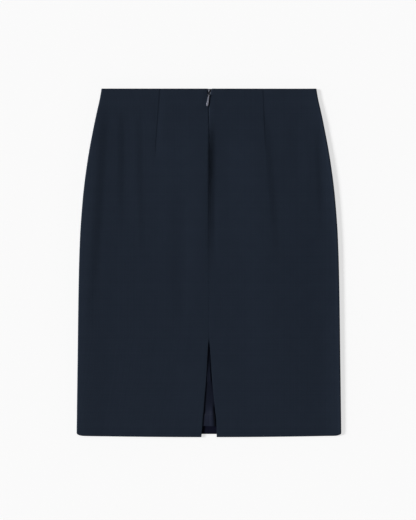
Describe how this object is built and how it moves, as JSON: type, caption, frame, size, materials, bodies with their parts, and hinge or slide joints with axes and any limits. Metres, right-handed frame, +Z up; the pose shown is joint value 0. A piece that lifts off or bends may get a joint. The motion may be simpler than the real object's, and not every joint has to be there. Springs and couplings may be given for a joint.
{
  "type": "pencil skirt",
  "caption": "Knee-length pencil skirt laid flat on its front, with back darts, a centre-back zip and a walking slit at the hem.",
  "frame": {"origin": "on the surface the skirt lies on, under the centre of its bounding box", "axes": "+Y from hem to waist, +Z up out of the back of the skirt, +X to the right of the back as it is seen from above"},
  "size_m": [0.4558, 0.6, 0.0068],
  "materials": {
    "suiting": "matte navy plain-weave suiting with a faint nap",
    "lining": "smooth navy satin lining with a soft sheen",
    "zip_tape": "navy woven polyester tape",
    "zip_metal": "smooth grey-blue enamel on zinc"
  },
  "bodies": {
    "skirt": {"front_panel": "suiting", "back_left": "suiting", "back_right": "suiting", "front_lining": "lining", "zip_tape_left": "zip_tape", "zip_tape_right": "zip_tape", "zip_slider": "zip_metal"},
    "pull": {"zip_pull": "zip_metal"}
  },
  "joints": [
    {"name": "pull_swing", "type": "hinge", "parent": "skirt", "child": "pull", "pos_m": [-0.00004, 0.2886, 0.00515], "axis": [-0.9848, 0.1736, 0], "range_deg": [0, 170]}
  ]
}
